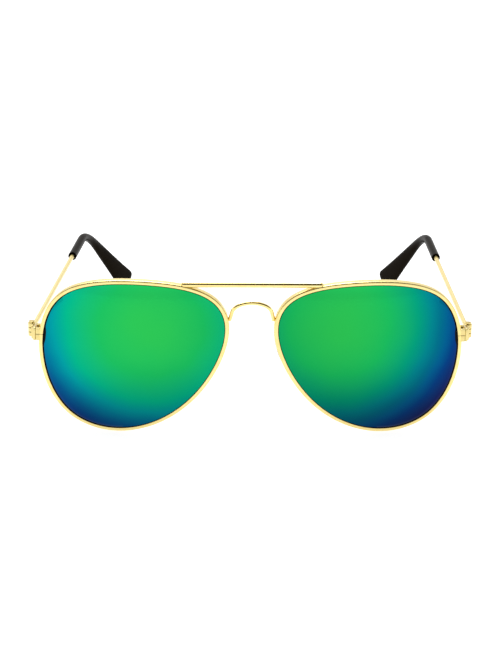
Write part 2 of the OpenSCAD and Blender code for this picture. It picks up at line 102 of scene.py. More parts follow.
# Control points of a closed cubic B-spline, in half widths and half heights; +x is the temple side
LENS_SHAPE = [Vector(p) for p in ((1.08, 0), (0.88, 0.96), (-0.26, 1.04), (-0.92, 0.85),
                                  (-1.08, 0.32), (-0.7, -0.55), (0, -1.08), (0.79, -0.96))]
# Stretches of the outline, in turns: beside the hinge, and down the nose side
HINGE_SIDE, NOSE_SIDE = (0, 0.15), (0.36, 0.6)


def spline_point(t):
    """Point of the outline's spline at t turns, from 0 up to 1."""
    n = len(LENS_SHAPE)
    i, f = int(t * n // 1), (t * n) % 1
    a, b, c, d = (LENS_SHAPE[(i + k) % n] for k in (-1, 0, 1, 2))
    weight_b = 3 * f ** 3 - 6 * f * f + 4
    weight_c = 3 * f + 3 * f * f - 3 * f ** 3 + 1
    return ((1 - f) ** 3 * a + weight_b * b + weight_c * c + f ** 3 * d) / 6


OUTLINE = [spline_point(i / 960) for i in range(960)]
LOW = Vector(min(p[k] for p in OUTLINE) for k in (0, 1))
HIGH = Vector(max(p[k] for p in OUTLINE) for k in (0, 1))
SCALE = (SIGHT_W / (HIGH.x - LOW.x), SIGHT_H / (HIGH.y - LOW.y))


def sight(t):
    """Edge of the visible glass at t turns."""
    p = spline_point(t % 1) - (LOW + HIGH) / 2
    return Vector((p.x * SCALE[0], p.y * SCALE[1]))


def sight_out(t):
    """Outward direction at t turns."""
    d = sight(t + 0.0005) - sight(t - 0.0005)
    return Vector((d.y, -d.x)).normalized()


def edge(t, grow):
    """Point of the outline moved outward by grow."""
    return sight(t) + grow * sight_out(t)


def sag(p, r):
    """Depth below the lens apex of the sphere of radius r round the lens's centre of curvature."""
    return LENS_R - math.sqrt(r * r - p.length_squared)


def leaned(p, depth):
    """Point p of the lens plane at a depth behind the apex, with the lens's turn and lean."""
    x = p.x * math.cos(WRAP) - depth * math.sin(WRAP)
    y = p.x * math.sin(WRAP) + depth * math.cos(WRAP)
    return Vector((x + LENS_X, y * math.cos(PANTOSCOPIC) - p.y * math.sin(PANTOSCOPIC),
                   y * math.sin(PANTOSCOPIC) + p.y * math.cos(PANTOSCOPIC)))


MID_R = LENS_R - LENS_T / 2
LENS_X = (SIGHT_W * math.cos(WRAP) + LENS_GAP) / 2
LENS_Z = -min(leaned(edge(i / 96, RIM_FACE), sag(sight(i / 96), MID_R) - RIM_DEPTH / 2).z for i in range(96))
FRONT_Y = LENS_R * (math.cos(WRAP) * math.cos(PANTOSCOPIC) - 1)
CENTRE_Y = FRONT_Y - CAD_BOX[0].y / MM


def on_table(p, side):
    """Point given for the wearer's left, in millimetres from the lens apexes, to the row frame."""
    return Vector((p.x * side, p.y - CENTRE_Y, p.z)) * MM


def placed(p, depth):
    """The same, lifted until the eyewire stands on the table."""
    return leaned(p, depth) + Vector((0, 0, LENS_Z))


def turn_where(test, stretch):
    """The turn in a stretch of the outline where test goes from true to false."""
    low, high = stretch
    for _ in range(30):
        mid = (low + high) / 2
        low, high = (mid, high) if test(sight(mid)) else (low, mid)
    return low


SPLIT_TURN = turn_where(lambda p: p.y < HINGE_UP, HINGE_SIDE)
# Share of the outline that the split takes, as if it were a circle
SPLIT_PART = SPLIT_GAP / (math.pi * (SIGHT_W + SIGHT_H) / 2)

# ---------------------------------------------------------------- mesh helpers


def piece(name, mesh, body, material, slot, *nodes):
    """Puts a finished mesh in the scene as one piece of the object."""
    obj = bpy.data.objects.new(name, mesh)
    bpy.context.scene.collection.objects.link(obj)
    for m in material if isinstance(material, list) else [material]:
        mesh.materials.append(m)
    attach(obj, body)
    if nodes:
        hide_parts(*nodes)
    return obj


def mesh_of(name, points, faces, sharp_angle=50):
    """Smooth-shaded mesh with edges kept sharp above an angle in degrees."""
    mesh = bpy.data.meshes.new(name)
    mesh.from_pydata([tuple(p) for p in points], [], faces)
    bm = bmesh.new()
    bm.from_mesh(mesh)
    bmesh.ops.recalc_face_normals(bm, faces=bm.faces)
    bm.to_mesh(mesh)
    bm.free()
    mesh.shade_smooth()
    mesh.set_sharp_from_angle(angle=math.radians(sharp_angle))
    return mesh


def skin(name, rings, sharp_angle=50):
    """Skin over rings of points, with flat ends."""
    n, count = len(rings[0]), len(rings)
    faces = []
    for r in range(count - 1):
        a, b = r * n, (r + 1) * n
        faces += [(a + i, a + (i + 1) % n, b + (i + 1) % n, b + i) for i in range(n)]
    faces += [tuple(range(n)), tuple(range((count - 1) * n, count * n))]
    return mesh_of(name, [p for ring in rings for p in ring], faces, sharp_angle)


def tube_rings(path, radius, sides=24):
    """Round rings along a path; radius is a number or a function of the share of the path."""
    rings, normal = [], None
    for k, p in enumerate(path):
        along = (path[min(k + 1, len(path) - 1)] - path[max(k - 1, 0)]).normalized()
        if normal is None:
            normal = along.orthogonal().normalized()
        normal = (normal - along * normal.dot(along)).normalized()
        across = along.cross(normal)
        r = radius(k / (len(path) - 1)) if callable(radius) else radius
        rings.append([p + r * (math.cos(q) * normal + math.sin(q) * across)
                      for q in (2 * math.pi * i / sides for i in range(sides))])
    return rings


def curve_through(points, steps):
    """Smooth open curve through all the points."""
    e = [2 * points[0] - points[1]] + points + [2 * points[-1] - points[-2]]
    made = []
    for i in range(1, len(points)):
        a, b, c, d = e[i - 1:i + 3]
        for k in range(steps):
            f = k / steps
            made.append((2 * b + (c - a) * f + (2 * a - 5 * b + 4 * c - d) * f * f
                         + (3 * b - a - 3 * c + d) * f ** 3) / 2)
    return made + [points[-1]]


def softened(node, body, material, slot, width):
    """Copy of a CAD node with its sharp edges rounded, which stands for the node."""
    name = f"{node}_soft"
    bm = bmesh.new()
    bm.from_mesh(frame["nodes"][node].data)
    bmesh.ops.remove_doubles(bm, verts=bm.verts, dist=0.002 * MM)
    bmesh.ops.dissolve_limit(bm, angle_limit=math.radians(2), verts=bm.verts, edges=bm.edges)
    bm.normal_update()
    sharp = [e for e in bm.edges if len(e.link_faces) == 2 and e.calc_face_angle() > math.radians(35)]
    bmesh.ops.bevel(bm, geom=sharp, offset=width * MM, segments=2, profile=0.5, affect="EDGES",
                    clamp_overlap=True)
    mesh = bpy.data.meshes.new(name)
    bm.to_mesh(mesh)
    bm.free()
    mesh.shade_smooth()
    mesh.set_sharp_from_angle(angle=math.radians(40))
    piece(name, mesh, body, material, slot, node)


# ---------------------------------------------------------------- materials


class Nodes:
    """Short way to write a node tree."""

    def __init__(self, name, world=False):
        self.owner = bpy.data.worlds.new(name) if world else bpy.data.materials.new(name)
        self.owner.use_nodes = True
        self.tree = self.owner.node_tree
        self.tree.nodes.clear()

    def add(self, kind, inputs=None, **settings):
        """New node; an input is a value or the socket that feeds it."""
        node = self.tree.nodes.new(kind)
        for key, value in settings.items():
            setattr(node, key, value)
        for key, value in (inputs or {}).items():
            if isinstance(value, bpy.types.NodeSocket):
                self.tree.links.new(value, node.inputs[key])
            else:
                node.inputs[key].default_value = value
        return node

    def math(self, operation, a, b=0.0, clamp=False):
        return self.add("ShaderNodeMath", {0: a, 1: b}, operation=operation, use_clamp=clamp).outputs[0]

    def noise(self, size_mm, detail=3.0, roughness=0.5):
        """Noise whose features are about size_mm across, in the row frame."""
        where = self.add("ShaderNodeTexCoord").outputs["Object"]
        return self.add("ShaderNodeTexNoise", {"Vector": where, "Scale": 1 / (size_mm * MM), "Detail": detail,
                                               "Roughness": roughness}).outputs["Fac"]

    def ramp(self, factor, *stops):
        """Colour over a factor, from stops of place and colour."""
        node = self.add("ShaderNodeValToRGB", {"Fac": factor})
        elements = node.color_ramp.elements
        while len(elements) < len(stops):
            elements.new(0.5)
        for element, (at, colour) in zip(elements, stops):
            element.position = at
            element.color = (*colour, 1)
        return node.outputs["Color"]

    def between(self, factor, low, high):
        """Maps a factor of 0 to 1 to the range low to high."""
        return self.add("ShaderNodeMapRange", {"Value": factor, "To Min": low, "To Max": high}).outputs[0]

    def step(self, value, start, end):
        """0 where the value is at start, 1 at end, and held outside."""
        return self.add("ShaderNodeMapRange", {"Value": value, "From Min": start, "From Max": end}).outputs[0]

    def bump(self, height, depth_mm):
        sizes = {"Height": height, "Strength": 1.0, "Distance": depth_mm * MM}
        return self.add("ShaderNodeBump", sizes).outputs[0]

    def surface(self, inputs):
        """Closes the tree with the shader and gives the finished material."""
        shader = self.add("ShaderNodeBsdfPrincipled", inputs)
        self.add("ShaderNodeOutputMaterial", {"Surface": shader.outputs[0]})
        return self.owner


def srgb(r, g, b):
    """Linear colour of an 8-bit display colour."""
    return tuple((c / 255 / 12.92) if c <= 10 else ((c / 255 + 0.055) / 1.055) ** 2.4 for c in (r, g, b))


def gold(name="gold_plating", tone=1.0, smooth=0.10, worn=0.24):
    """Polished gold plating: faint tone patches, fine polishing haze and worn-in roughness; tone darkens the
    whole copy, and the darker hinge and temple copies are painted shade.
    """
    n = Nodes(name)
    patches = n.noise(2.2, detail=4)
    haze = n.noise(0.35, detail=6, roughness=0.65)
    orange, lemon = (tone, 0.77 * tone, 0.28 * tone), (tone, 0.85 * tone, 0.37 * tone)
    colour = n.ramp(patches, (0.3, orange), (0.7, lemon))
    return n.surface({"Base Color": colour, "Metallic": 1.0, "Roughness": n.between(haze, smooth, worn),
                      "Normal": n.bump(n.noise(0.12, detail=2), 0.0012),
                      "Coat Weight": 0.25, "Coat Roughness": 0.06})


# What differs between the two coats; 1 is the wearer's left.
# Film thickness: base, outward, upward, and the squares of both
FILM = {1: (0.25, 0.29, -0.28, 0.42, 0.28), -1: (0.21, 0.15, -0.27, 0.36, 0.30)}
TEALS = {1: ((5, 164, 126), (3, 138, 146), (3, 116, 144)), -1: ((5, 184, 138), (2, 160, 165), (2, 130, 162))}
# Painted light on the coat: its brightness, and its gain per half height
COAT_PAINTED_LIGHT = {1: (0.68, 0.17), -1: (0.76, 0.14)}


def mirror_coat(name, side):
    """Flash mirror: interference colours, green to navy, over the lens's own width and height, scaled by
    painted shade and a painted highlight.
    """
    n = Nodes(f"mirror_coat_{name}")
    base, outward, upward, wide, tall = FILM[side]
    place = n.add("ShaderNodeTexCoord").outputs["Object"]
    xyz = n.add("ShaderNodeSeparateXYZ", {"Vector": place})
    u = n.math("MULTIPLY_ADD", xyz.outputs["X"], side / (SIGHT_W / 2 * MM))
    u.node.inputs[2].default_value = -LENS_X / (SIGHT_W / 2)
    v = n.math("MULTIPLY_ADD", xyz.outputs["Z"], 1 / (SIGHT_H / 2 * MM))
    v.node.inputs[2].default_value = -LENS_Z / (SIGHT_H / 2)
    uu, vv = n.math("MULTIPLY", u, u), n.math("MULTIPLY", v, v)
    film = n.math("ADD", n.math("MULTIPLY", u, outward), base)
    for value, gain in ((v, upward), (uu, wide), (vv, tall)):
        film = n.math("ADD", film, n.math("MULTIPLY", value, gain))
    film = n.math("ADD", film, n.between(n.noise(9, detail=1), -0.02, 0.02), clamp=True)
    green, leaf = (57, 202, 70), (28, 190, 95)
    blue, deep_blue, navy = (4, 98, 152), (6, 68, 140), (25, 36, 106)
    stops = zip((0.0, 0.25, 0.43, 0.55, 0.64, 0.73, 0.83, 1.0),
                (green, leaf, *TEALS[side], blue, deep_blue, navy))
    colour = n.ramp(film, *((at, srgb(*rgb)) for at, rgb in stops))
    # painted shade: dimmer towards the bottom and both sides; painted highlight: brighter at the very top
    level, rise = COAT_PAINTED_LIGHT[side]
    painted_top_light = n.math("POWER", n.math("MAXIMUM", v, 0.0), 4.0)
    painted_light = n.math("ADD", n.math("MULTIPLY", painted_top_light, 0.4), level)
    for value, gain in ((v, rise), (vv, -0.19), (u, 0.03), (uu, -0.08)):
        painted_light = n.math("ADD", painted_light, n.math("MULTIPLY", value, gain))
    # coat colour scaled by the painted shade and painted highlight
    painted_colour = n.add("ShaderNodeVectorMath", {0: colour, "Scale": painted_light}, operation="SCALE").outputs[0]
    return n.surface({"Base Color": painted_colour, "Metallic": 1.0, "Roughness": n.between(n.noise(4), 0.09, 0.13)})


def tinted_back():
    """Inner face of a lens: dark grey-green tint, polished, with a faint cleaning haze."""
    n = Nodes("tinted_back")
    colour = n.ramp(n.noise(6, detail=4), (0.3, (0.010, 0.016, 0.012)), (0.7, (0.016, 0.022, 0.018)))
    return n.surface({"Base Color": colour, "Roughness": n.between(n.noise(1.5), 0.03, 0.09),
                      "IOR": 1.55, "Coat Weight": 0.4, "Coat Roughness": 0.02})


def lens_edge_and_shade_band():
    """Ground edge of a lens, and the band round its front that is partly painted shade: matt and near black.
    """
    n = Nodes("lens_edge_and_shade_band")
    colour = n.ramp(n.noise(0.4, detail=5), (0.3, (0.002, 0.003, 0.003)), (0.7, (0.006, 0.007, 0.006)))
    return n.surface({"Base Color": colour, "Roughness": n.between(n.noise(0.2), 0.5, 0.7),
                      "Specular IOR Level": 0.08})


def tip_plastic():
    """Black-brown plastic with a moulded, slightly uneven skin."""
    n = Nodes("tip_plastic")
    colour = n.ramp(n.noise(1.8, detail=5), (0.3, (0.0036, 0.0022, 0.0006)), (0.72, (0.0062, 0.0038, 0.0012)))
    ripple = n.math("ADD", n.noise(1.4, detail=2), n.math("MULTIPLY", n.noise(0.16, detail=3), 0.35))
    scuffs = n.noise(0.8, detail=6, roughness=0.7)
    return n.surface({"Base Color": colour, "Roughness": n.between(scuffs, 0.22, 0.36), "IOR": 1.4,
                      "Specular IOR Level": 0.025, "Specular Tint": (1.0, 0.74, 0.45, 1.0),
                      "Normal": n.bump(ripple, 0.012)})


def pad_plastic():
    """Clear soft plastic, very slightly warm, with faint flow marks."""
    n = Nodes("pad_plastic")
    colour = n.ramp(n.noise(3, detail=3), (0.3, (0.80, 0.75, 0.62)), (0.7, (0.88, 0.84, 0.72)))
    return n.surface({"Base Color": colour, "Roughness": n.between(n.noise(1.2), 0.05, 0.14), "IOR": 1.43,
                      "Transmission Weight": 0.7, "Normal": n.bump(n.noise(1.0), 0.01)})


def floor_white():
    """Matt pale floor that is nearly as bright as the surroundings."""
    n = Nodes("floor_white")
    colour = n.ramp(n.noise(40, detail=4), (0.3, (0.34, 0.34, 0.34)), (0.7, (0.36, 0.36, 0.36)))
    return n.surface({"Base Color": colour, "Roughness": 0.75, "Specular IOR Level": 0.2,
                      "Emission Color": (1.0, 1.0, 1.0, 1.0), "Emission Strength": 0.93})


# the darker copies of the one gold plating for the hinges and temple wires are painted shade
GOLD = gold(tone=0.88)
HINGE_GOLD_PAINTED_SHADE = gold("hinge_gold_painted_shade", tone=0.72)
RIM_GOLD = gold("rim_gold", tone=0.88, smooth=0.22, worn=0.36)
TEMPLE_GOLD_PAINTED_SHADE = gold("temple_gold_painted_shade", tone=0.82, smooth=0.3, worn=0.42)
BACK, EDGE_AND_SHADE_BAND, TIP, PAD = tinted_back(), lens_edge_and_shade_band(), tip_plastic(), pad_plastic()

# ---------------------------------------------------------------- eyewires


def arc(cx, cy, r, start, end, steps=6):
    """Points of an arc between two angles in degrees, both ends with it."""
    return [(cx + r * math.cos(math.radians(a)), cy + r * math.sin(math.radians(a)))
            for a in (start + (end - start) * k / steps for k in range(steps + 1))]


def eyewire_section():
    """Rounded wire with a V groove: pairs of distance out from the glass and distance back."""
    # Half the depth, the outer and inner roundings, and the crown of the face
    half, outer, inner, crown = RIM_DEPTH / 2, 0.5, 0.22, 0.05
    groove_deep, groove_floor = BEVEL_H + 0.2, GROOVE_HALF - 0.25
    front = arc(inner, inner - half, inner, 180, 270)
    front += [(RIM_FACE / 2, -half - crown)]
    front += arc(RIM_FACE - outer, outer - half, outer, 270, 360)
    back = [(s, -d) for s, d in reversed(front)]
    groove = [(0, GROOVE_HALF), (groove_deep, groove_floor), (groove_deep, -groove_floor), (0, -GROOVE_HALF)]
    return front + back + groove


def eyewire(name, side, steps=420):
    """The section carried round the outline from one face of the split to the other."""
    section = eyewire_section()
    rings = []
    for i in range(steps + 1):
        t = SPLIT_TURN + SPLIT_PART / 2 + (1 - SPLIT_PART) * i / steps
        depth = sag(sight(t), MID_R)
        rings.append([on_table(placed(edge(t, s), depth + d), side) for s, d in section])
    mesh = skin(f"eyewire_{name}_wire", rings, sharp_angle=48)
    piece(f"eyewire_{name}_wire", mesh, "front", RIM_GOLD, "gold_frame", f"eyewire_{name}")


# ---------------------------------------------------------------- lenses

# Bare near-black chamfer round the front: its width, and the painted shade that the outer lower side and the
# notch add to it
CHAMFER, SHADE_BAND_OUTER, SHADE_BAND_NOTCH = 0.15, 0.38, 0.5
OUTER_DOWN, NOTCH_TURN = Vector((0.9, -0.44)), 0.013
# Step from the face to the ground bevel, its gap outside the glass's outline, and half the bevel's land
SHOULDER, SHOULDER_OUT, LAND_HALF = 0.22, 0.02, 0.2


def lens(name, side, around=240, across=26):
    """Domed plate: mirrored front, ground edge, tinted back.

    The bare chamfer round the front is widened by painted shade on the outer side and at the notch beside the
    rim lock."""
    points, faces, materials = [], [], []

    def ring(scale, grow, r, shift=0.0):
        first = len(points)
        for i in range(around):
            t = i / around
            p = edge(t, grow(t) if callable(grow) else grow) * scale
            points.append(on_table(placed(p, sag(p, r) + shift), side))
        return first

    def chamfer_and_painted_shade(t):
        # the base width is the real chamfer; the extra width on the outer lower side and at the notch is
        # painted shade
        outer = max(0.0, sight_out(t).dot(OUTER_DOWN))
        notch_shade = math.exp(-((t - SPLIT_TURN) / NOTCH_TURN) ** 4)
        return -CHAMFER - SHADE_BAND_OUTER * outer - SHADE_BAND_NOTCH * notch_shade

    def band(a, b, material):
        for i in range(around):
            j = (i + 1) % around
            faces.append((a + i, a + j, b + j, b + i))
            materials.append(material)

    def cap(r, grow, material):
        centre = len(points)
        points.append(on_table(placed(Vector((0, 0)), sag(Vector((0, 0)), r)), side))
        inner = ring(1 / across, grow, r)
        for i in range(around):
            faces.append((centre, inner + i, inner + (i + 1) % around))
            materials.append(material)
        for k in range(2, across + 1):
            outer = ring(k / across, grow, r)
            band(inner, outer, material)
            inner = outer
        return inner

    front = cap(LENS_R, chamfer_and_painted_shade, 0)
    shoulder = ring(1, SHOULDER_OUT, LENS_R, SHOULDER)
    rim = ring(1, BEVEL_H, MID_R + LAND_HALF)
    rim_back = ring(1, BEVEL_H, MID_R - LAND_HALF)
    shoulder_back = ring(1, SHOULDER_OUT, LENS_R - LENS_T, -SHOULDER)
    back = cap(LENS_R - LENS_T, -CHAMFER, 2)
    loops = [front, shoulder, rim, rim_back, shoulder_back, back]
    for a, b in zip(loops, loops[1:]):
        band(a, b, 1)
    mesh = mesh_of(f"lens_{name}_glass", points, faces, sharp_angle=30)
    mesh.polygons.foreach_set("material_index", materials)
    coats = [mirror_coat(name, side), EDGE_AND_SHADE_BAND, BACK]
    piece(f"lens_{name}_glass", mesh, "front", coats, "mirror_lens", f"lens_{name}")


# ---------------------------------------------------------------- brow bar and bridge


def brow_bar():
    """Straight round bar with domed ends, where its CAD node is."""
    low, high = (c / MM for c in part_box("brow_bar"))
    r = (high.z - low.z) / 2
    y = (low.y + high.y) / 2 + CENTRE_Y
    z = (low.z + high.z) / 2
    half = (high.x - low.x) / 2
    path = [Vector((half * math.sin(math.pi / 2 * (-1 + k / 40)), y, z)) for k in range(81)]

    def radius(part):
        end = half * (1 - abs(math.sin(math.pi / 2 * (2 * part - 1))))
        return r * math.sqrt(max(1 - (1 - min(end / r, 1)) ** 2, 0.0025))

    rings = tube_rings(path, radius, 32)
    mesh = skin("brow_bar_rod", [[on_table(p, 1) for p in ring] for ring in rings])
    piece("brow_bar_rod", mesh, "front", GOLD, "gold_frame", "brow_bar")


def bridge():
    """Bridge wire: up a leg, round a corner, over a shallow arch and down again."""
    foot_turn = turn_where(lambda p: p.y > BRIDGE_UP - BRIDGE_LEG, NOSE_SIDE)
    foot_uv = edge(foot_turn, RIM_FACE + BRIDGE_FOOT_OUT)
    foot = placed(foot_uv, sag(foot_uv, MID_R))
    bridge_y = FRONT_Y + BRIDGE_BACK
    corner = Vector((foot.x - BRIDGE_LEG_IN, bridge_y, LENS_Z + BRIDGE_UP - BRIDGE_RISE))
    arch_r = (corner.x ** 2 + BRIDGE_RISE ** 2) / (2 * BRIDGE_RISE)

    def arch(x):
        return Vector((x, bridge_y, LENS_Z + BRIDGE_UP - arch_r + math.sqrt(arch_r ** 2 - x * x)))

    leg = (corner - foot).normalized()
    before, past = corner - leg * BRIDGE_ROUND, arch(corner.x - BRIDGE_ROUND)
    half = [foot + (before - foot) * k / 8 for k in range(8)]
    for k in range(17):
        f = k / 16
        half.append((1 - f) ** 2 * before + 2 * f * (1 - f) * corner + f * f * past)
    half += [arch(past.x * (1 - k / 24)) for k in range(1, 25)]
    path = half + [Vector((-p.x, p.y, p.z)) for p in reversed(half[:-1])]
    rings = tube_rings(path, BRIDGE_D / 2, 28)
    mesh = skin("bridge_wire", [[on_table(p, 1) for p in ring] for ring in rings])
    piece("bridge_wire", mesh, "front", GOLD, "gold_frame", "bridge")


# ---------------------------------------------------------------- temples

# Places along the temple, measured from the hinge axis
BEND_LEN = BEND_R * BEND_ANGLE
BEND_MID = TEMPLE_LEN + BEND_LEN * 0.5
TIP_END = TEMPLE_LEN + BEND_LEN + DROP_LEN
FLARE_START = TEMPLE_LEN + BEND_LEN * 0.35
TWIST_END = BEND_MID + DROP_LEN * 0.6
ROUND_LEN = PADDLE_W * 0.4


def share(x, start, end):
    """How far x is from start to end, held between 0 and 1."""
    return min(max((x - start) / (end - start), 0), 1)


def ease(k):
    return k * k * (3 - 2 * k)


def temple_angle(s):
    """Downward turn of the temple at s."""
    return share(s, TEMPLE_LEN, TEMPLE_LEN + BEND_LEN) * BEND_ANGLE


def temple_point(s):
    """Middle of the temple at s, before it leans or slopes."""
    a = temple_angle(s)
    past = max(s - TEMPLE_LEN - BEND_LEN, 0)
    return Vector((0, min(s, TEMPLE_LEN) + BEND_R * math.sin(a) + past * math.cos(BEND_ANGLE),
                   -BEND_R * (1 - math.cos(a)) - past * math.sin(BEND_ANGLE)))


def temple_ring(s, wide, thick, turn=0.0, sides=40, corner=2.0):
    """Section of the temple at s; corner above 2 makes the oval squarer."""
    a = temple_angle(s)
    across, up = Vector((1, 0, 0)), Vector((0, math.sin(a), math.cos(a)))
    thin_way = across * math.cos(turn) + up * math.sin(turn)
    wide_way = up * math.cos(turn) - across * math.sin(turn)
    ring = []
    for i in range(sides):
        q = 2 * math.pi * i / sides
        c, d = math.cos(q), math.sin(q)
        c, d = math.copysign(abs(c) ** (2 / corner), c), math.copysign(abs(d) ** (2 / corner), d)
        ring.append(temple_point(s) + thin_way * c * thick / 2 + wide_way * d * wide / 2)
    return ring


def leaned_in(p):
    c, s = math.cos(INWARD_LEAN), math.sin(INWARD_LEAN)
    return Vector((p.x * c + p.z * s, p.y, p.z * c - p.x * s))


def sloped(p, a):
    return Vector((p.x, p.y * math.cos(a) + p.z * math.sin(a), p.z * math.cos(a) - p.y * math.sin(a)))


def tip_flare(s):
    return share(s, FLARE_START, TIP_END - ROUND_LEN) ** 1.6


def tip_wide(s):
    return TIP_D + (PADDLE_W - TIP_D) * tip_flare(s)


def tip_thick(s):
    return TIP_D + (PADDLE_T - TIP_D) * tip_flare(s)


def tip_turn(s):
    return TIP_TWIST * ease(share(s, BEND_MID, TWIST_END))


def tip_rings():
    """Inside of the mouth, the rounded lip, the sleeve and the flat rounded end."""
    bottom, bore, mouth_deep, mouth_start = WIRE_D + 0.1, WIRE_D + 0.2, 3, 0.3
    lip_len, lip_end, oval = 0.35, 0.8, 2.4
    rings = [temple_ring(TIP_START + mouth_deep, bottom, bottom)]
    rings += [temple_ring(TIP_START + mouth_start, bore, bore)]
    for k in range(7):
        a = math.pi * k / 12
        d = bore + (TIP_D - bore) * (0.3 + 0.7 * math.sin(a))
        rings.append(temple_ring(TIP_START + lip_len * (1 - math.cos(a)), d, d))
    straight = TEMPLE_LEN - TIP_START - lip_end
    stations = [TIP_START + lip_end + straight * k / 10 for k in range(11)]
    stations += [TEMPLE_LEN + BEND_LEN * k / 24 for k in range(1, 25)]
    stations += [TEMPLE_LEN + BEND_LEN + (DROP_LEN - ROUND_LEN) * k / 24 for k in range(1, 25)]
    for s in stations:
        rings.append(temple_ring(s, tip_wide(s), tip_thick(s), tip_turn(s), corner=2 + 0.5 * tip_flare(s)))
    for k in range(1, 13):
        q = math.sin(math.radians(89 * k / 12))
        round_off = max(1 - q ** oval, 0) ** (1 / oval)
        thick = PADDLE_T * (0.2 + 0.8 * round_off ** 0.7)
        s = TIP_END - ROUND_LEN + ROUND_LEN * q
        rings.append(temple_ring(s, PADDLE_W * round_off, thick, tip_turn(s), corner=2.5))
    return rings


TIP_RINGS = tip_rings()
HINGE = {side: Vector(JOINTS[f"temple_fold_{name}"]["pos_m"]) / MM for name, side in SIDES.items()}
# A temple's rest angle in from straight back: the travel left to its open stop, less the splay of that stop
REST_FOLD = {side: math.radians(-JOINTS[f"temple_fold_{name}"]["range_deg"][0]) - OPEN_SPLAY
             for name, side in SIDES.items()}


def slope_to_table():
    """Slope at which the lowest point of the tip just reaches the table."""
    low, high = math.radians(-8), math.radians(12)
    for _ in range(16):
        mid = (low + high) / 2
        lowest = min(sloped(leaned_in(p), mid).z for ring in TIP_RINGS for p in ring) + HINGE[1].z
        low, high = (mid, high) if lowest > 0 else (low, mid)
    return low


SLOPE = slope_to_table()


def on_temple(p, side):
    """Point of the temple, measured from the hinge axis, to the row frame."""
    p = Matrix.Rotation(REST_FOLD[side], 3, "Z") @ sloped(leaned_in(p), SLOPE)
    return (Vector((p.x * side, p.y, p.z)) + HINGE[side]) * MM


def temple(name, side):
    """Wire with a rounded front end, which goes on inside the tip as far as the bend's middle."""
    body = f"temple_{name}"
    start, rounding = BARREL_R + 0.55, 0.3
    stations = [(start, 0.75), (start + 0.12, 0.94)]
    stations += [(start + rounding + (TEMPLE_LEN - start - rounding) * k / 30, 1) for k in range(31)]
    stations += [(TEMPLE_LEN + (BEND_MID - TEMPLE_LEN) * k / 8, 1) for k in range(1, 9)]
    rings = [temple_ring(s, WIRE_D * part, WIRE_D * part, sides=32) for s, part in stations]
    mesh = skin(f"temple_wire_{name}_rod", [[on_temple(p, side) for p in ring] for ring in rings])
    piece(f"temple_wire_{name}_rod", mesh, body, TEMPLE_GOLD_PAINTED_SHADE, "gold_frame", f"temple_wire_{name}")
    mesh = skin(f"temple_tip_{name}_sleeve", [[on_temple(p, side) for p in ring] for ring in TIP_RINGS])
    piece(f"temple_tip_{name}_sleeve", mesh, body, TIP, "temple_tip", f"temple_tip_{name}")


# ---------------------------------------------------------------- nose pads

PAD_TURN = Matrix.Rotation(-PAD_LEAN, 3, "Y") @ Matrix.Rotation(-PAD_SPLAY, 3, "Z")


def pad_pivot(name, side):
    """Where a pad swivels, given for the wearer's left."""
    at = Vector(JOINTS[f"nose_pad_swivel_{name}"]["pos_m"]) / MM + Vector((0, CENTRE_Y, 0))
    return Vector((at.x * side, at.y, at.z))


PIVOT = {side: pad_pivot(name, side) for name, side in SIDES.items()}


def on_pad(p, side):
    """Point of a pad, measured from its pivot, to the row frame."""
    return on_table(PAD_TURN @ p + PIVOT[side], side)


def pad_outline(q):
    """Point of the pad's drop-shaped outline at the angle q."""
    y = math.copysign(abs(math.cos(q)) ** 0.9, math.cos(q)) * PAD_W / 2
    return y, math.sin(q) * PAD_LEN / 2 - 0.06 * PAD_LEN * math.cos(q) ** 2


def pad_shape(side, around=64, steps=8):
    """Cushion: flat back, rolled edge and a crowned face towards the nose."""
    flat, roll = 0.9, 0.36 * PAD_T
    crown = PAD_T - 2 * roll
    # Distance outward from the pivot and share of the outline, ring by ring
    profile = [(-PAD_GAP, max(flat * k / steps, 0.01)) for k in range(steps)]
    for k in range(steps + 1):
        a = math.pi * k / steps - math.pi / 2
        profile.append((-PAD_GAP - roll * (1 + math.sin(a)), flat + (1 - flat) * math.cos(a)))
    for k in range(1, 12):
        f = 1 - k / 12
        profile.append((-PAD_GAP - 2 * roll - crown * (1 - f * f), flat * f))
    outline = [pad_outline(2 * math.pi * i / around) for i in range(around)]
    return [[on_pad(Vector((x, y * f, z * f)), side) for y, z in outline] for x, f in profile]


def pad_lug(side):
    """Lug on the pad's back that the box holds, rounded round the pivot."""
    half_w, half_h, corner, sides = 0.7, 1.1, 0.4, 32
    root = ((-PAD_GAP - 0.3, 0.5), (-PAD_GAP + 0.1, 0.15), (-PAD_GAP + 0.4, 0))
    end = ((0.4, 0), (0.75, -0.15), (0.9, -0.4))
    square = []
    for i in range(sides):
        c, d = math.cos(2 * math.pi * i / sides), math.sin(2 * math.pi * i / sides)
        square.append((math.copysign(abs(c) ** corner, c), math.copysign(abs(d) ** corner, d)))
    return [[on_pad(Vector((x, c * (half_w + grow), d * (half_h + grow))), side) for c, d in square]
            for x, grow in root + end]


def nose_pad(name, side):
    """Clear cushion and the lug that its screw goes through."""
    body = f"pad_{name}"
    mesh = skin(f"nose_pad_{name}_cushion", pad_shape(side))
    pad = piece(f"nose_pad_{name}_cushion", mesh, body, PAD, "nose_pad", f"nose_pad_{name}")
    piece(f"nose_pad_{name}_lug", skin(f"nose_pad_{name}_lug", pad_lug(side)), body, PAD, "nose_pad")


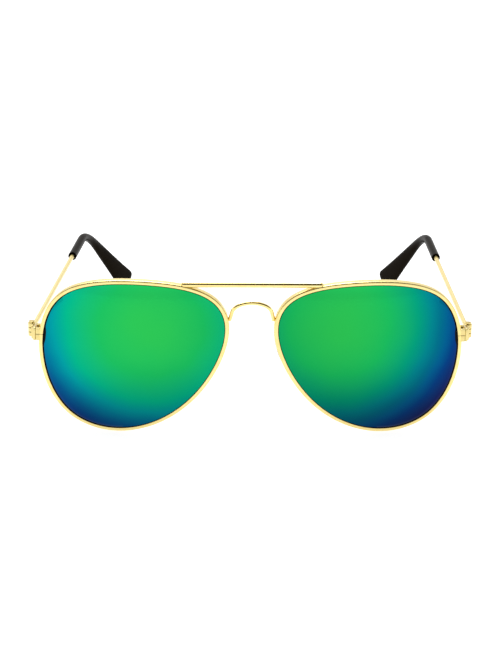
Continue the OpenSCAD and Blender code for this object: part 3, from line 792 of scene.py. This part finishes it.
def pad_arm(name, side):
    """Arm wire from the back of the eyewire, round and down to the pad's box."""
    root_turn = turn_where(lambda p: p.y > ARM_ROOT_UP, NOSE_SIDE)
    root_uv = edge(root_turn, RIM_FACE / 2)
    root = placed(root_uv, sag(root_uv, MID_R) + RIM_DEPTH / 2 - ARM_SINK)
    box_back = PIVOT[side] + PAD_BOX_BACK * (PAD_TURN @ Vector((1, 0, 0)))
    points = [root, root + Vector((0.3, 1.6, 0.7)), root + Vector((2.2, 2.7, 1.2)),
              box_back + Vector((0.9, -0.4, 2.4)), box_back + Vector((0.5, -0.2, 0.4))]
    rings = tube_rings(curve_through(points, 14), PAD_ARM_D / 2, 24)
    mesh = skin(f"pad_arm_{name}_wire", [[on_table(p, side) for p in ring] for ring in rings])
    piece(f"pad_arm_{name}_wire", mesh, "front", GOLD, "gold_frame", f"pad_arm_{name}")


# ---------------------------------------------------------------- the whole pair of glasses

# Width of the rounding on the edges of each metal block
BLOCKS = {"endpiece": 0.15, "rim_lock_upper": 0.04, "rim_lock_lower": 0.04, "front_hinge": 0.2,
          "pad_box": 0.1}
TEMPLE_HINGE_SOFT, SCREW_SOFT = 0.2, 0.06

brow_bar()
bridge()
for side_name, side_sign in SIDES.items():
    eyewire(side_name, side_sign)
    lens(side_name, side_sign)
    temple(side_name, side_sign)
    nose_pad(side_name, side_sign)
    pad_arm(side_name, side_sign)
    for part, width in BLOCKS.items():
        softened(f"{part}_{side_name}", "front", HINGE_GOLD_PAINTED_SHADE, "gold_frame", width)
    softened(f"temple_hinge_{side_name}", f"temple_{side_name}", HINGE_GOLD_PAINTED_SHADE, "gold_frame", TEMPLE_HINGE_SOFT)
    for screw in ("hinge_screw", "rim_lock_screw", "pad_screw"):
        softened(f"{screw}_{side_name}", "front", HINGE_GOLD_PAINTED_SHADE, "screw", SCREW_SOFT)

# ---------------------------------------------------------------- stage, light and camera


def stage(half=6):
    """Square floor, from -half to half metres."""
    corners = [Vector((x * half, y * half, 0)) for x, y in ((-1, -1), (1, -1), (1, 1), (-1, 1))]
    mesh = mesh_of("floor", corners, [(0, 1, 2, 3)])
    floor = bpy.data.objects.new("floor", mesh)
    mesh.materials.append(floor_white())
    bpy.context.scene.collection.objects.link(floor)


def studio():
    """White surroundings, dark in front between a low and a high edge, where the room isn't lit."""
    n = Nodes("studio", world=True)
    direction = n.add("ShaderNodeTexCoord").outputs["Generated"]
    xyz = n.add("ShaderNodeSeparateXYZ", {"Vector": direction})
    height = xyz.outputs["Z"]
    band = n.math("MULTIPLY", n.step(height, 0.19, 0.27), n.step(height, 0.99, 0.93))
    dark = n.math("MULTIPLY", band, n.step(xyz.outputs["Y"], 0.0, -0.2))
    colour = n.ramp(dark, (0.0, (1.0, 1.0, 1.0)), (1.0, (0.03, 0.027, 0.02)))
    shade = n.add("ShaderNodeBackground", {"Color": colour, "Strength": 1.0})
    n.add("ShaderNodeOutputWorld", {"Surface": shade.outputs[0]})
    bpy.context.scene.world = n.owner


def softbox(name, place, size, watts):
    """Square lamp that faces the origin; its place and size are in metres."""
    light = bpy.data.lights.new(name, "AREA")
    light.shape, light.size, light.energy = "SQUARE", size, watts
    obj = bpy.data.objects.new(name, light)
    obj.location = place
    obj.rotation_mode = "QUATERNION"
    obj.rotation_quaternion = (-Vector(place)).to_track_quat("-Z", "Y")
    bpy.context.scene.collection.objects.link(obj)


def camera():
    """Looks from the front and above, nearly straight on. Distances in millimetres."""
    azimuth, elevation, roll = (math.radians(a) for a in (-1.68, 19.84, 0.77))
    distance, aside, below, focal = 534.66, 0.12, 33.67, 92.2
    back = Vector((math.sin(azimuth) * math.cos(elevation), -math.cos(azimuth) * math.cos(elevation),
                   math.sin(elevation)))
    right = Vector((math.cos(azimuth), math.sin(azimuth), 0))
    up = back.cross(right)
    right, up = right * math.cos(roll) + up * math.sin(roll), up * math.cos(roll) - right * math.sin(roll)
    data = bpy.data.cameras.new("camera")
    data.lens, data.sensor_width = focal, 36
    data.clip_start, data.clip_end = 0.01, 30
    obj = bpy.data.objects.new("camera", data)
    place = back * distance - right * aside + up * below
    obj.matrix_world = Matrix((right, up, back)).transposed().to_4x4()
    obj.location = (place - Vector((0, CENTRE_Y, 0))) * MM
    bpy.context.scene.collection.objects.link(obj)
    bpy.context.scene.camera = obj


stage()
studio()
softbox("top_light", (-0.1, 0.25, 0.7), 0.5, 5)
camera()
bpy.context.scene.view_settings.view_transform = "Standard"
